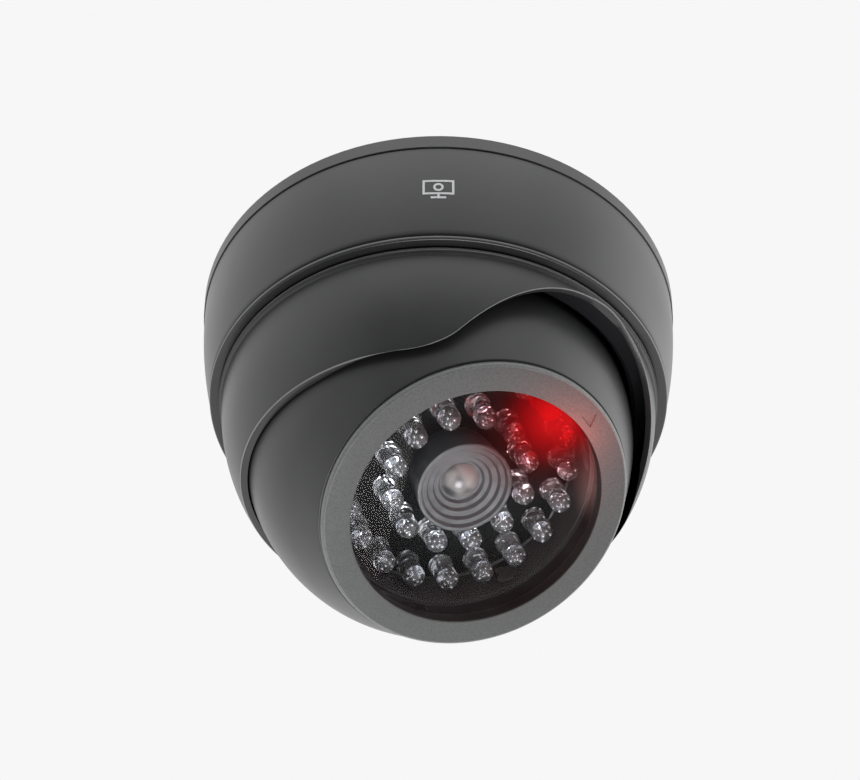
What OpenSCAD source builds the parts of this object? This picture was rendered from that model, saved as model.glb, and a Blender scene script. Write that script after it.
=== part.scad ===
// Imitation dome camera for a ceiling: twist-off base, turning cover with a viewing notch,
// and a tilting ball that holds a ring of dummy lamps, one flashing lamp and its two cells.
// The ceiling plane is z = 0 and the camera hangs below it. The notch faces -Y.

/* [Plate and base] */
// Diameter of the mounting plate, the widest part
plate_d = 120.2; // [119.8:0.1:121]
// Height of the plate's visible rim
rim_h = 4.2; // [3.8:0.1:4.6]
// Depth of the base's lower face below the ceiling
base_depth = 31.5; // [31:0.1:31.7]
// Diameter of the base at its upper edge
base_top_d = 119; // [118.4:0.2:119.4]
// Diameter of the base at its lower bead
bead_d = 110.4; // [109.6:0.2:111]
// Wall thickness of the base
base_wall = 2.2; // [1.8:0.1:2.4]
// Circle on which the ceiling screws sit
screw_circle_d = 84; // [80:1:86]
// Diameter of the ceiling screw holes
screw_hole_d = 4.5; // [4:0.1:5]
// Turn that frees the base from the plate, in degrees
twist_turn = 15.5; // [13:0.5:17]

/* [Cover] */
// Outer radius of the spherical cover
cover_r = 52.2; // [52:0.1:52.4]
// Depth of the cover's centre below the ceiling
cover_centre_depth = 29.5; // [29.2:0.1:29.8]
// Wall thickness of the cover
cover_wall = 1.5; // [1.2:0.1:1.6]
// Depth of the cover's open lower lip
lip_depth = 55.3; // [55:0.1:56]
// Radius of the round viewing notch
notch_r = 35.4; // [34.5:0.1:35.6]
// Depth of the notch's centre below the ceiling
notch_centre_depth = 67.9; // [67.7:0.1:68.4]
// Radius that blends the notch into the lip
notch_fillet = 7; // [5:0.5:8]

/* [Ball] */
// Outer radius of the ball
ball_r = 45.9; // [45.6:0.1:46]
// Depth of the ball's centre below the ceiling
ball_depth = 40; // [39.8:0.1:40.2]
// Wall thickness of the ball
ball_wall = 2; // [1.6:0.1:2.4]
// Angle of the line of sight from straight down, as stored
tilt = 24.6; // [15:0.1:40]
// Turn of the ball away from the middle of the notch, as stored
swivel = -6.8; // [-12:0.1:12]

/* [Front] */
// Outer diameter of the front ring
bezel_d = 69.4; // [68.8:0.1:69.8]
// Diameter of the opening in the front ring
sight_d = 57; // [55:0.5:58]
// Distance of the front ring's face from the ball's centre
bezel_front = 32.7; // [32.5:0.1:33]

/* [Lamps and lens] */
// Diameter of a lamp
lamp_d = 5; // [4:0.1:5.2]
// Lamps in the inner ring
inner_count = 12; // [8:1:14]
// Radius of the inner ring
inner_ring_r = 15.9; // [15.6:0.1:16.4]
// Places in the outer ring, one of them for the flashing lamp
outer_count = 19; // [14:1:22]
// Radius of the outer ring
outer_ring_r = 25.5; // [25:0.1:25.6]
// Diameter of the imitation lens
lens_d = 22; // [20:0.5:22.5]

/* [Power] */
// Diameter of a cell
cell_d = 14.2; // [14:0.1:14.5]
// Length of a cell, with its contact nub
cell_l = 50.5; // [49.5:0.1:50.5]
// Travel of the slide switch
switch_travel = 2; // [1.5:0.1:2.2]

/* [Hidden] */
$fn = 96;

black = "#34363a";
dark = "#222326";
steel = "#b9bcc0";
clear = "#dfe8ee";

run_gap = 0.08;            // radial clearance of a running fit
seam = 0.2;                // gap between faces that pass each other

// Plate
plate_r = plate_d / 2;
rim_draft = 0.3;
rim_edge = 0.5;
plate_floor = 2.4;
spigot_depth = 10;
spigot_in_r = 55.2;
spigot_out_r = 57.25;
slot_top = 5.2;
slot_bottom = 7.4;
lug_angle = 5.6;
lug_play = 0.4;
slot_end = 1;
lug_count = 3;
first_lug = 40;
screw_count = 3;
screw_head_d = 8.8;
screw_sink = 1.6;
screw_boss_r = 6;

// Base
bead_r = 0.55;
groove_h = 0.5;
groove_rise = 0.4;
groove_depth = 0.45;
base_top = rim_h + seam;
wall_low = base_depth - bead_r * 2 - groove_rise;
wall_top_r = base_top_d / 2;
wall_low_r = bead_d / 2;
wall_arc = 110;
ledge_t = 2.2;
ledge_r = 51.6;
half_chord = norm([wall_top_r - wall_low_r, wall_low - base_top]) / 2;
arc_reach = sqrt(wall_arc * wall_arc - half_chord * half_chord);
arc_dir = [base_top - wall_low, wall_top_r - wall_low_r] / (2 * half_chord);
arc_mid = [(wall_top_r + wall_low_r) / 2, -(base_top + wall_low) / 2];
arc_centre = arc_mid + arc_reach * arc_dir;
mark_turn = -47;
mark_depth = 17.3;
mark_t = 0.1;

// Cover
cover_in_r = cover_r - cover_wall;
flange_r = 52.9;
flange_top = base_depth + seam;
flange_t = 0.5;
flange_bottom = flange_top + flange_t;
flange_fillet = 0.7;
collar_out_r = ledge_r - run_gap;
collar_in_r = 48.6;
collar_top = base_depth - ledge_t - 0.3;
collar_bottom = flange_top + 1.2;
rest_top = flange_top + 0.1;
rest_in_r = 47.3;
rest_gap_angle = 18;
notch_tangent = notch_r + notch_fillet;
notch_drop = notch_centre_depth - lip_depth + notch_fillet;
notch_side = sqrt(notch_tangent * notch_tangent - notch_drop * notch_drop);
notch_touch = [notch_side, notch_drop] * notch_r / notch_tangent;
notch_reach = 70;
foot_steps = 10;
relief_r = 47.8;
relief_depth = 49.4;
relief_angle = 72;

// Retaining ring
ring_t = 1.5;
ring_in_r = 46.6;
ring_out_r = 52.8;
ring_screw_r = (collar_in_r + collar_out_r) / 2;
ring_screw_count = 4;
ring_screw_core = 0.8;
ring_screw_first = 45;
ring_screw_l = 3.8;
ring_screw_head_r = 1.7;
ring_screw_head_h = 1;

// Carrier and pivot
carrier_in_r = 46.4;
carrier_out_r = collar_in_r - run_gap;
carrier_low = rest_top - 0.1;
carrier_top = collar_top + 0.1;
arm_w = 9;
arm_low = ball_depth + 4;
arm_wall_gap = 0.5;
pin_r = 2;
pin_in = 41;
pin_flange_r = 3.2;
pin_flange_t = 1;
spot_face = 45.5;
washer_t = 0.8;
washer_r = 4.2;

// Ball, measured along the line of sight from the ball's centre
cone_angle = 60;
cone_back = ball_r * cos(cone_angle);
cone_front = 31;
cone_back_r = ball_r * sin(cone_angle);
cone_front_r = cone_back_r - (cone_front - cone_back) * cos(cone_angle) / sin(cone_angle);
cone_wall = ball_wall / sin(cone_angle);
cut_front = 98;
cut_back = 120;
cut_reach = 120;

// Front parts
bezel_back = cone_front + 0.15;
bezel_round = 0.9;
sight_r = sight_d / 2;
sight_wall = 1.5;
index_turn = -15.2;
index_r = 31.1;
index_size = 2;
index_depth = 0.3;
skirt_out_r = cone_front_r - cone_wall - 0.1;
skirt_in_r = 31.6;
skirt_back = 27.5;
pane_front = 29.6;
pane_t = 1.5;
pane_r = 31.4;
gasket_t = 0.8;

// Tray
tray_front = 12.2;
tray_t = 4.2;
tray_back = tray_front - tray_t;
tray_r = 31.4;
tray_top = pane_front - pane_t - gasket_t;
tray_upper_r = 30.4;
tray_lower_r = 29.4;
tray_step = 22.5;
ear_ring_r = 37.8;
post_front = 20;
ear_r = 3.2;
ear_count = 3;
ear_l = 8;
tap_r = 1;
tap_l = 6;
holder_tap_l = 2.5;
tray_screw_l = 7.5;
tray_screw_head_h = 1.4;
holder_screw_l = 4.2;
holder_screw_head_h = 1.2;
screw_head_r = 2;
lead_hole_r = 1.9;

// Lamps, placed by their angle from the top of the ring
lamp_tip = 21.2;
lamp_flange_r = 2.9;
lamp_flange_t = 1;
lamp_sides = 32;
first_inner = 16.8;
first_outer = -16.5;

// Lens
lens_top = 22.2;
lens_step = 0.9;
lens_rings = [lens_d / 2 - 1.4, 8.1, 6.4, 4.9];
lens_taper = 1.2;
lens_flare = 0.5;
lens_cut = 10;
glass_r = 4.3;
glass_dome_r = 5.2;
glass_t = 2.4;

// Power
holder_l = 58;
holder_w = 31;
holder_front = tray_back;
holder_back = -3;
holder_wall = 1.6;
cell_y = 7.55;
cell_h = holder_front - holder_wall - cell_d / 2 - 0.05;
pocket_l = holder_l - 2 * holder_wall;
plate_t = 0.4;
nub_l = 1.1;
nub_r = 2.7;
contact_w = 10;
pocket_edge = 0.8;
pocket_rib = 0.25;
holder_ears = [[-22, 18.2], [-22, -18.2], [22, -18.2]];
holder_ear_r = 3;
holder_ear_t = 2;
holder_ear_l = 4;
spring_wire_r = 0.35;
spring_turns = 3;
coil_steps = 14;
spring_big_r = 4;
spring_small_r = 2.4;
spring_l = pocket_l - cell_l - plate_t - spring_wire_r * 2;

// Board
board_size = [28, 12, 1.2];
board_at = [8, 23.2];
board_front = 6.5;
board_back = board_front - board_size[2];
peg_r = 1;
peg_boss_r = 2;
peg_l = 1.8;
peg_x = [-11.5, 11.5];
lead_r = 0.25;
lead_gap = 2.54;
lead_tail = 0.5;
chip_at = [0.2, 24.2];
chip_size = [5, 4, 1.6];
switch_at = [14, 21.2];
switch_size = [8.6, 4.4, 3.5];
knob_size = [2, 1.6, 4.6];
knob_sink = 1.1;
knob_play = [0.15, 0.1];
wire_r = 0.6;
wire_bend = 1.5;
wire_drop = 4;
wire_inset = 3.6;
red_wire_x = 6.4;
black_wire_x = 3.4;

// A ring from radius a to b, between two depths below the ceiling
module tube(a, b, top, bottom) {
    translate([0, 0, -bottom])
        difference() {
            cylinder(h = bottom - top, r = b);
            translate([0, 0, -1])
                cylinder(h = bottom - top + 2, r = a);
        }
}

// A piece of such a ring, from one angle to another
module arc_tube(a, b, top, bottom, from, to) {
    rotate([0, 0, from])
        rotate_extrude(angle = to - from)
            translate([a, -bottom])
                square([b - a, bottom - top]);
}

// Puts its children in the ball's frame: +Z along the line of sight, +Y towards the notch
module in_ball() {
    translate([0, 0, -ball_depth])
        rotate([0, 0, swivel])
            rotate([180 - tilt, 0, 0])
                children();
}

// Copies evenly spaced round Z, starting on +Y
module ring_of(count, r, first = 0, skip = -1) {
    for (i = [0 : count - 1])
        if (i != skip)
            rotate([0, 0, first + i * 360 / count])
                translate([0, r, 0])
                    children();
}

// Screw with a round head: the shank runs up from z = 0 and the head hangs below
module screw(r, l, head_r, head_h) {
    difference() {
        union() {
            cylinder(h = l, r = r, $fn = 32);
            translate([0, 0, -head_h])
                cylinder(h = head_h, r = head_r, $fn = 32);
        }
        for (a = [0, 90])
            rotate([0, 0, a])
                translate([-head_r * 0.6, -0.2, -head_h - 0.1])
                    cube([head_r * 1.2, 0.4, head_h / 2 + 0.1]);
    }
}

// Half section of the plate: floor, rim and the spigot that the base turns on
module plate_section() {
    polygon([
        [0, 0],
        [plate_r - rim_edge, 0],
        [plate_r, -rim_edge],
        [plate_r - rim_draft, -rim_h],
        [spigot_out_r, -rim_h],
        [spigot_out_r, -spigot_depth],
        [spigot_in_r, -spigot_depth],
        [spigot_in_r, -plate_floor],
        [0, -plate_floor]
    ]);
}

// Repeats its children at each bayonet lug
module at_lugs() {
    for (i = [0 : lug_count - 1])
        rotate([0, 0, first_lug + i * 360 / lug_count])
            children();
}

module mounting_plate() {
    color(dark)
        difference() {
            union() {
                rotate_extrude($fn = 180)
                    plate_section();
                ring_of(screw_count, screw_circle_d / 2)
                    translate([0, 0, -rim_h])
                        cylinder(h = rim_h - 1, r = screw_boss_r);
            }
            ring_of(screw_count, screw_circle_d / 2) {
                translate([0, 0, -rim_h - 1])
                    cylinder(h = rim_h + 2, r = screw_hole_d / 2);
                translate([0, 0, -rim_h - 1])
                    cylinder(h = screw_sink + 1, r = screw_head_d / 2);
            }
            at_lugs() {
                arc_tube(spigot_in_r - 1, spigot_out_r + 1, slot_top, slot_bottom,
                         -lug_play, twist_turn + slot_end);
                arc_tube(spigot_in_r - 1, spigot_out_r + 1, slot_top, spigot_depth + 1,
                         twist_turn - lug_play, twist_turn + lug_angle + lug_play);
            }
        }
}

// Everything inside the drafted wall line, moved inwards by inset
module wall_shape(inset, top, bottom) {
    intersection() {
        translate(arc_centre)
            circle(r = wall_arc - inset, $fn = 360);
        translate([0, -bottom])
            square([plate_r + 1, bottom - top]);
    }
}

module base_housing() {
    color(black) {
        difference() {
            rotate_extrude($fn = 180)
                difference() {
                    union() {
                        wall_shape(0, base_top, wall_low);
                        translate([ledge_r, -base_depth + bead_r])
                            square([wall_low_r - groove_depth - ledge_r, groove_h + bead_r]);
                        translate([wall_low_r - bead_r, -base_depth + bead_r])
                            circle(r = bead_r, $fn = 64);
                        translate([ledge_r, -base_depth])
                            square([wall_low_r - bead_r - ledge_r, ledge_t]);
                    }
                    wall_shape(base_wall, base_top - 1, base_depth - ledge_t);
                    translate([0, -base_depth - 1])
                        square([ledge_r, base_depth + 1]);
                    translate([0, -spigot_depth - seam])
                        square([spigot_out_r + run_gap, spigot_depth]);
                }
        }
        at_lugs()
            arc_tube(spigot_in_r - 0.2, spigot_out_r + 1, slot_top + 0.3, slot_bottom - 0.1,
                     0, lug_angle);
    }
}

// Outline of a small camera, the printed mark
module pictogram() {
    difference() {
        square([7, 4.2], center = true);
        square([6, 3.2], center = true);
    }
    difference() {
        circle(r = 1.15);
        circle(r = 0.65);
    }
    translate([0, -3])
        square([3.4, 0.5], center = true);
    translate([0, -2.45])
        square([0.5, 1], center = true);
}

module base_mark() {
    color("white")
        intersection() {
            rotate_extrude($fn = 180)
                difference() {
                    wall_shape(-mark_t, base_top, wall_low);
                    wall_shape(0, base_top - 1, wall_low + 1);
                }
            rotate([0, 0, mark_turn])
                translate([0, -spigot_in_r, -mark_depth])
                    rotate([90, 0, 0])
                        linear_extrude(height = 10)
                            pictogram();
        }
}

// Half section of the cover's turning part, before the notch is cut
module cover_section() {
    difference() {
        union() {
            intersection() {
                translate([0, -cover_centre_depth])
                    circle(r = cover_r, $fn = 360);
                translate([0, -lip_depth])
                    square([plate_r, lip_depth - flange_bottom]);
            }
            translate([collar_in_r, -flange_bottom])
                square([flange_r - collar_in_r, flange_bottom - flange_top]);
            translate([collar_in_r, -flange_top])
                square([collar_out_r - collar_in_r, flange_top - collar_top]);
            difference() {
                translate([cover_in_r, -flange_bottom - flange_fillet])
                    square([flange_r - cover_in_r, flange_fillet]);
                translate([flange_r, -flange_bottom - flange_fillet])
                    circle(r = flange_fillet, $fn = 64);
            }
        }
        difference() {
            translate([0, -cover_centre_depth])
                circle(r = cover_in_r, $fn = 360);
            translate([collar_in_r, -collar_bottom])
                square([10, collar_bottom]);
        }
    }
}

// One side of the notch's foot, where it runs out into the lip in a round corner
module notch_foot() {
    turn = 90 - atan2(notch_drop, notch_side);
    corner = [notch_side, notch_fillet - lip_depth];
    polygon(concat(
        [[0, notch_touch[1] - notch_centre_depth], [0, -lip_depth - 1], [notch_side, -lip_depth - 1]],
        [for (i = [0 : foot_steps])
            let (a = -90 - (90 - turn) * i / foot_steps)
            corner + notch_fillet * [cos(a), sin(a)]],
        [notch_touch * (1 - 1 / notch_r) - [0, notch_centre_depth]]
    ));
}

module notch_cutter() {
    rotate([90, 0, 0])
        linear_extrude(height = notch_reach)
            union() {
                translate([0, -notch_centre_depth])
                    circle(r = notch_r, $fn = 360);
                for (side = [-1, 1])
                    scale([side, 1])
                        notch_foot();
            }
}

// Thins the lip from inside on the notch's side, where the front ring's edge sweeps past
module lip_relief() {
    reach = 2 * plate_r;
    intersection() {
        translate([0, 0, -ball_depth])
            rotate([0, 0, 90])
                sphere(r = relief_r, $fn = 180);
        translate([0, 0, -lip_depth - 1])
            linear_extrude(height = lip_depth + 1 - relief_depth)
                polygon([
                    [0, 0],
                    reach * [-sin(relief_angle), -cos(relief_angle)],
                    [0, -reach],
                    reach * [sin(relief_angle), -cos(relief_angle)]
                ]);
    }
}

module dome_cover() {
    color(black)
        difference() {
            union() {
                rotate_extrude($fn = 180)
                    cover_section();
                for (side = [0, 180])
                    arc_tube(rest_in_r, collar_in_r + 0.5, rest_top, collar_bottom,
                             side + rest_gap_angle, side + 180 - rest_gap_angle);
            }
            notch_cutter();
            lip_relief();
            ring_of(ring_screw_count, ring_screw_r, ring_screw_first)
                translate([0, 0, -flange_top])
                    cylinder(h = 5, r = ring_screw_core, $fn = 32);
        }
}

module retaining_ring() {
    color(dark)
        difference() {
            tube(ring_in_r, ring_out_r, collar_top - ring_t, collar_top);
            ring_of(ring_screw_count, ring_screw_r, ring_screw_first)
                translate([0, 0, -collar_top - 1])
                    cylinder(h = ring_t + 2, r = ring_screw_core + 0.2, $fn = 32);
        }
}

module ring_screws() {
    color(steel)
        ring_of(ring_screw_count, ring_screw_r, ring_screw_first)
            translate([0, 0, ring_t - collar_top])
                rotate([180, 0, 0])
                    screw(ring_screw_core, ring_screw_l, ring_screw_head_r, ring_screw_head_h);
}

// One pivot side, pointing along +X
module on_pivots() {
    translate([0, 0, -ball_depth])
        rotate([0, 0, swivel])
            for (side = [0, 180])
                rotate([0, 0, side])
                    rotate([0, 90, 0])
                        children();
}

module ball_carrier() {
    color(dark)
        difference() {
            union() {
                tube(carrier_in_r, carrier_out_r, carrier_top, carrier_low);
                rotate([0, 0, swivel])
                    for (side = [0, 180])
                        rotate([0, 0, side])
                            intersection() {
                                translate([0, -arm_w / 2, -arm_low])
                                    cube([carrier_out_r, arm_w, arm_low - carrier_low + 1]);
                                translate([0, 0, -arm_low])
                                    cylinder(h = arm_low, r = carrier_out_r);
                                translate([0, 0, -cover_centre_depth])
                                    sphere(r = cover_in_r - arm_wall_gap, $fn = 180);
                                translate([carrier_in_r, -arm_w, -arm_low])
                                    cube([10, 2 * arm_w, arm_low]);
                            }
            }
            on_pivots()
                cylinder(h = 60, r = pin_r + run_gap, $fn = 64);
        }
}

module pivot_pins() {
    color(steel)
        on_pivots() {
            translate([0, 0, pin_in])
                cylinder(h = carrier_out_r - pin_in - 0.1, r = pin_r, $fn = 64);
            translate([0, 0, pin_in - pin_flange_t])
                cylinder(h = pin_flange_t, r = pin_flange_r, $fn = 64);
        }
}

module friction_washers() {
    color(steel)
        on_pivots()
            translate([0, 0, spot_face])
                difference() {
                    cylinder(h = washer_t, r = washer_r, $fn = 64);
                    translate([0, 0, -1])
                        cylinder(h = washer_t + 2, r = pin_r + 0.1, $fn = 64);
                }
}

// Solid form of the ball, grown or shrunk by inset
module ball_form(inset) {
    front = cone_front + (inset > 0 ? 1 : 0);
    slope = cos(cone_angle) / sin(cone_angle);
    shrink = inset / sin(cone_angle);
    rotate([0, 0, 45]) {
        intersection() {
            sphere(r = ball_r - inset, $fn = 180);
            translate([0, 0, -ball_r])
                cylinder(h = ball_r + cone_back - inset * cos(cone_angle), r = ball_r + 1);
        }
        translate([0, 0, cone_back - inset * cos(cone_angle)])
            cylinder(h = front - cone_back + inset * cos(cone_angle),
                     r1 = (ball_r - inset) * sin(cone_angle),
                     r2 = cone_back_r - shrink - (front - cone_back) * slope,
                     $fn = 180);
    }
}

module ball_shell() {
    side_y = ball_r * sin(cut_front);
    side_h = ball_r * cos(cut_front);
    far_y = -ball_r * sin(cut_back);
    far_h = ball_r * cos(cut_back);
    color(black)
        in_ball()
            difference() {
                union() {
                    difference() {
                        ball_form(0);
                        ball_form(ball_wall);
                    }
                    ring_of(ear_count, ear_ring_r)
                        translate([0, 0, tray_front])
                            cylinder(h = post_front - tray_front, r = ear_r, $fn = 48);
                    for (side = [-1, 1])
                        scale([side, 1, 1])
                            translate([pin_in, 0, 0])
                                rotate([0, 90, 0])
                                    cylinder(h = ball_r - pin_in - 1, r = washer_r + 0.6, $fn = 48);
                }
                translate([0, side_y, side_h])
                    rotate([atan2(side_h - far_h, side_y - far_y), 0, 0])
                        translate([-cut_reach / 2, -cut_reach, -cut_reach / 2])
                            cube([cut_reach, cut_reach * 1.5, cut_reach / 2]);
                for (side = [-1, 1])
                    scale([side, 1, 1])
                        rotate([0, 90, 0]) {
                            cylinder(h = 60, r = pin_r, $fn = 64);
                            translate([0, 0, spot_face])
                                cylinder(h = 5, r = washer_r + 0.2, $fn = 64);
                        }
                ring_of(ear_count, ear_ring_r)
                    translate([0, 0, tray_front - 1])
                        cylinder(h = tap_l + 1, r = tap_r, $fn = 32);
            }
}

// Front ring, with a sunk triangle that marks the top
module front_bezel() {
    color(black)
        in_ball()
            difference() {
                rotate_extrude($fn = 180)
                    union() {
                        translate([sight_r, bezel_back])
                            square([bezel_d / 2 - bezel_round - sight_r, bezel_front - bezel_back]);
                        translate([sight_r, bezel_back])
                            square([bezel_d / 2 - sight_r, bezel_front - bezel_back - bezel_round]);
                        intersection() {
                            translate([bezel_d / 2 - bezel_round, bezel_front - bezel_round])
                                circle(r = bezel_round, $fn = 64);
                            translate([0, bezel_back])
                                square([bezel_d, bezel_front - bezel_back]);
                        }
                        translate([sight_r, pane_front])
                            square([sight_wall, bezel_back - pane_front + 0.5]);
                        translate([skirt_in_r, skirt_back])
                            square([skirt_out_r - skirt_in_r, bezel_back - skirt_back + 0.5]);
                    }
                rotate([0, 0, index_turn])
                    translate([0, index_r, bezel_front - index_depth])
                        linear_extrude(height = 1)
                            rotate([0, 0, 90])
                                circle(r = index_size, $fn = 3);
            }
}

module window() {
    color(clear, 0.3)
        in_ball()
            translate([0, 0, pane_front - pane_t])
                cylinder(h = pane_t, r = pane_r, $fn = 180);
}

module window_gasket() {
    color(dark)
        in_ball()
            translate([0, 0, tray_top])
                difference() {
                    cylinder(h = gasket_t, r = pane_r);
                    translate([0, 0, -1])
                        cylinder(h = gasket_t + 2, r = tray_upper_r);
                }
}

module lamp_tray() {
    color(dark)
        in_ball()
            difference() {
                union() {
                    rotate_extrude($fn = 180)
                        union() {
                            translate([0, tray_back])
                                square([tray_r, tray_t]);
                            translate([tray_upper_r, tray_back])
                                square([tray_r - tray_upper_r, tray_top - tray_back]);
                            translate([tray_lower_r, tray_back])
                                square([tray_r - tray_lower_r, tray_step - tray_back]);
                        }
                    ring_of(ear_count, ear_ring_r)
                        translate([0, 0, tray_back]) {
                            cylinder(h = tray_t, r = ear_r, $fn = 48);
                            translate([-ear_r, -ear_l, 0])
                                cube([2 * ear_r, ear_l, tray_t]);
                        }
                    for (x = peg_x)
                        translate([board_at[0] + x, board_at[1], board_front]) {
                            cylinder(h = tray_back - board_front + 1, r = peg_boss_r, $fn = 32);
                            translate([0, 0, -peg_l])
                                cylinder(h = peg_l + 1, r = peg_r, $fn = 32);
                        }
                }
                ring_of(ear_count, ear_ring_r)
                    translate([0, 0, tray_back - 1])
                        cylinder(h = tray_t + 2, r = tap_r + 0.3, $fn = 32);
                for (at = holder_ears)
                    translate([at[0], at[1], tray_back - 1])
                        cylinder(h = holder_tap_l + 1, r = tap_r, $fn = 32);
                rotate([0, 0, first_outer])
                    translate([0, outer_ring_r, tray_back - 1])
                        cylinder(h = tray_t + 2, r = lead_hole_r, $fn = 32);
            }
}

module tray_screws() {
    color(steel)
        in_ball()
            ring_of(ear_count, ear_ring_r)
                translate([0, 0, tray_back])
                    screw(tap_r, tray_screw_l, screw_head_r, tray_screw_head_h);
}

// A clear lamp standing on the tray
module lamp() {
    translate([0, 0, tray_front])
        cylinder(h = lamp_flange_t, r = lamp_flange_r, $fn = lamp_sides);
    translate([0, 0, tray_front])
        cylinder(h = lamp_tip - lamp_d / 2 - tray_front, r = lamp_d / 2, $fn = lamp_sides);
    translate([0, 0, lamp_tip - lamp_d / 2])
        sphere(r = lamp_d / 2, $fn = lamp_sides);
}

module inner_lamps() {
    color(clear, 0.6)
        in_ball()
            ring_of(inner_count, inner_ring_r, first_inner)
                lamp();
}

module outer_lamps() {
    color(clear, 0.6)
        in_ball()
            ring_of(outer_count, outer_ring_r, first_outer, 0)
                lamp();
}

module flashing_lamp() {
    color("red")
        in_ball()
            rotate([0, 0, first_outer])
                translate([0, outer_ring_r, 0]) {
                    lamp();
                    for (side = [-1, 1])
                        translate([side * lead_gap / 2, 0, board_back - lead_tail])
                            cylinder(h = tray_front - board_back + 2 * lead_tail, r = lead_r, $fn = 16);
                }
}

module lens_barrel() {
    outer_r = lens_d / 2;
    color("#8d9196")
        in_ball()
            difference() {
                translate([0, 0, tray_front])
                    cylinder(h = lens_top - tray_front, r1 = outer_r - lens_taper, r2 = outer_r);
                for (i = [0 : len(lens_rings) - 1])
                    translate([0, 0, lens_top - (i + 1) * lens_step])
                        cylinder(h = lens_cut, r1 = lens_rings[i], r2 = lens_rings[i] + lens_cut * lens_flare);
            }
}

module lens_glass() {
    seat = lens_top - len(lens_rings) * lens_step;
    color(clear)
        in_ball()
            translate([0, 0, seat])
                intersection() {
                    cylinder(h = 5, r = glass_r);
                    translate([0, 0, glass_t - glass_dome_r])
                        sphere(r = glass_dome_r, $fn = 96);
                }
}

module battery_holder() {
    color(dark)
        in_ball()
            difference() {
                union() {
                    translate([-holder_l / 2, -holder_w / 2, holder_back])
                        cube([holder_l, holder_w, holder_front - holder_back]);
                    for (at = holder_ears)
                        translate([at[0], at[1], holder_front - holder_ear_t]) {
                            cylinder(h = holder_ear_t, r = holder_ear_r, $fn = 48);
                            translate([-holder_ear_r, at[1] > 0 ? -holder_ear_l : 0, 0])
                                cube([2 * holder_ear_r, holder_ear_l, holder_ear_t]);
                        }
                }
                for (side = [-1, 1])
                    scale([1, side, 1])
                        translate([-pocket_l / 2, pocket_rib, holder_back - 1])
                            cube([pocket_l, holder_w / 2 - pocket_edge - pocket_rib,
                                  holder_front - holder_back + 1 - holder_wall]);
                for (at = holder_ears)
                    translate([at[0], at[1], holder_front - holder_ear_t - 1])
                        cylinder(h = holder_ear_t + 2, r = tap_r + 0.2, $fn = 32);
            }
}

module holder_screws() {
    color(steel)
        in_ball()
            for (at = holder_ears)
                translate([at[0], at[1], holder_front - holder_ear_t])
                    screw(tap_r, holder_screw_l, screw_head_r, holder_screw_head_h);
}

// A cell with its nub at the +X end of the pocket
module cell() {
    end_x = pocket_l / 2 - plate_t - cell_l;
    translate([end_x, cell_y, cell_h])
        rotate([0, 90, 0])
            union() {
                cylinder(h = cell_l - nub_l, r = cell_d / 2);
                cylinder(h = cell_l, r = nub_r, $fn = 48);
            }
}

module battery_1() {
    color("#3f6f4a")
        in_ball()
            cell();
}

module battery_2() {
    color("#3f6f4a")
        in_ball()
            rotate([0, 0, 180])
                cell();
}

// A conical coil of round wire along +Z, as one swept solid
module coil(big_r, small_r, l, turns, wire) {
    sides = 6;
    steps = turns * coil_steps;
    function at(i, j) =
        let (t = i / steps,
             a = t * turns * 360,
             r = big_r + (small_r - big_r) * t + wire * cos(j * 360 / sides))
        [r * cos(a), r * sin(a), t * l + wire * sin(j * 360 / sides)];
    points = [for (i = [0 : steps]) for (j = [0 : sides - 1]) at(i, j)];
    walls = [
        for (i = [0 : steps - 1])
            for (j = [0 : sides - 1])
                [i * sides + j, (i + 1) * sides + j, (i + 1) * sides + (j + 1) % sides,
                 i * sides + (j + 1) % sides]
    ];
    start = [for (j = [0 : sides - 1]) j];
    finish = [for (j = [sides - 1 : -1 : 0]) steps * sides + j];
    polyhedron(points = points, faces = concat(walls, [start], [finish]), convexity = 6);
}

module contact_springs() {
    color(steel)
        in_ball()
            for (turn = [0, 180])
                rotate([0, 0, turn])
                    translate([spring_wire_r - pocket_l / 2, cell_y, cell_h])
                        rotate([0, 90, 0])
                            coil(spring_big_r, spring_small_r, spring_l, spring_turns, spring_wire_r);
}

module contact_plates() {
    color(steel)
        in_ball()
            for (turn = [0, 180])
                rotate([0, 0, turn])
                    translate([pocket_l / 2 - plate_t, cell_y - contact_w / 2, holder_back + 1])
                        cube([plate_t, contact_w, holder_front - holder_wall - holder_back - 1]);
}

module flasher_board() {
    color("#2f6b3c")
        in_ball()
            difference() {
                translate([board_at[0] - board_size[0] / 2, board_at[1] - board_size[1] / 2, board_back])
                    cube(board_size);
                for (x = peg_x)
                    translate([board_at[0] + x, board_at[1], board_back - 1])
                        cylinder(h = board_size[2] + 2, r = peg_r + 0.05, $fn = 32);
                rotate([0, 0, first_outer])
                    for (side = [-1, 1])
                        translate([side * lead_gap / 2, outer_ring_r, board_back - 1])
                            cylinder(h = board_size[2] + 2, r = lead_r + 0.1, $fn = 16);
            }
}

module flasher_chip() {
    color("#18191b")
        in_ball()
            translate([chip_at[0], chip_at[1], board_back - chip_size[2]])
                cube(chip_size);
}

module switch_body() {
    color(steel)
        in_ball()
            difference() {
                translate([switch_at[0] - switch_size[0] / 2, switch_at[1] - switch_size[1] / 2,
                           board_back - switch_size[2]])
                    cube(switch_size);
                translate([switch_at[0] - knob_size[0] / 2 - switch_travel / 2 - knob_play[0],
                           switch_at[1] - knob_size[1] / 2 - knob_play[1],
                           board_back - switch_size[2] - 1])
                    cube([knob_size[0] + switch_travel + 2 * knob_play[0],
                          knob_size[1] + 2 * knob_play[1],
                          switch_size[2]]);
            }
}

module switch_knob() {
    color(dark)
        in_ball()
            translate([switch_at[0] - knob_size[0] / 2 - switch_travel / 2,
                       switch_at[1] - knob_size[1] / 2,
                       board_back - knob_sink - knob_size[2]])
                cube(knob_size);
}

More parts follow.
